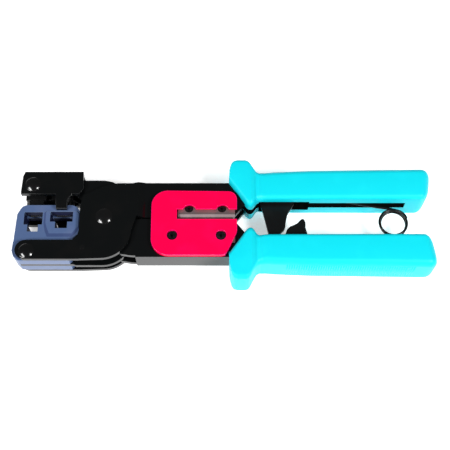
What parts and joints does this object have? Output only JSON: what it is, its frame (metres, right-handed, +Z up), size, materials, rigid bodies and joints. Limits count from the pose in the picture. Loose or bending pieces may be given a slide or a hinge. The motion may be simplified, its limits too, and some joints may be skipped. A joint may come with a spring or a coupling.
{
  "type": "crimping tool",
  "caption": "Hand tool that presses plugs onto phone and network cable between scissor jaws, with a wire cutter, a ratchet and sprung handles.",
  "frame": {"origin": "under the middle of the closed tool as it lies on its side, on the surface it rests on", "axes": "+X from the jaws to the ends of the grips, +Y across towards the upper lever, +Z up through the thickness"},
  "size_m": [0.2216, 0.07, 0.0218],
  "materials": {
    "black_frame": "gloss black enamel over sheet steel",
    "black_rivets": "gloss black rivet heads",
    "ratchet_steel": "black oxide on hardened steel",
    "blackened_steel": "black oxide on the punch blocks, bare steel teeth",
    "spring_wire": "black oiled spring wire",
    "bright_steel": "turned steel",
    "cutter_steel": "ground blade steel",
    "screw_steel": "darkened screw steel",
    "die_enamel": "slate blue coating on cast steel",
    "cover_plastic": "red moulded plastic",
    "grip_plastic": "sky blue moulded vinyl"
  },
  "bodies": {
    "lower_lever": {"lower_handle_channel": "black_frame", "upper_jaw_core": "black_frame", "jaw_cap_front": "black_frame", "jaw_cap_back": "black_frame", "jaw_cap_rivet": "black_rivets", "jaw_spacers": "bright_steel", "hub_spacers": "bright_steel", "punch_8p": "blackened_steel", "punch_6p": "blackened_steel", "blade_cover": "cover_plastic", "cover_screws": "screw_steel", "cutter_anvil": "cutter_steel", "lower_grip": "grip_plastic", "pawl_pin": "bright_steel", "pawl_spring": "spring_wire", "spring_pin_lower": "bright_steel"},
    "pawl": {"release_pawl": "ratchet_steel"},
    "upper_lever": {"upper_handle_channel": "black_frame", "die_block": "die_enamel", "lower_jaw_core": "black_frame", "die_rivet": "black_rivets", "core_pin": "bright_steel", "cutter_blade": "cutter_steel", "blade_screws": "screw_steel", "upper_grip": "grip_plastic", "ratchet_sector": "ratchet_steel", "sector_pins": "bright_steel", "sector_spacers": "bright_steel", "spring_pin_upper": "bright_steel", "main_pivot_rivet": "black_rivets"},
    "spring_upper": {"spring_upper_leg": "spring_wire"},
    "spring_lower": {"spring_lower_leg": "spring_wire"}
  },
  "joints": [
    {"name": "handles_open", "type": "hinge", "parent": "lower_lever", "child": "upper_lever", "pos_m": [-0.0632, 0, 0.0109], "axis": [0, 0, 1], "range_deg": [0, 22]},
    {"name": "pawl_release", "type": "hinge", "parent": "lower_lever", "child": "pawl", "pos_m": [0.0408, -0.015, 0.0123], "axis": [0, 0, -1], "range_deg": [0, 10], "stiffness_Nm_per_rad": 0.02},
    {"name": "spring_upper_turn", "type": "hinge", "parent": "upper_lever", "child": "spring_upper", "pos_m": [0.0383, 0.0156, 0.01165], "axis": [0, 0, -1], "range_deg": [0, 33.7]},
    {"name": "spring_lower_turn", "type": "hinge", "parent": "lower_lever", "child": "spring_lower", "pos_m": [0.0383, -0.0156, 0.01015], "axis": [0, 0, 1], "range_deg": [0, 33.7]}
  ],
  "couplings": [
    {"joint": "spring_upper_turn", "follows": "handles_open", "ratio": 1.507},
    {"joint": "spring_lower_turn", "follows": "handles_open", "ratio": 1.507}
  ]
}
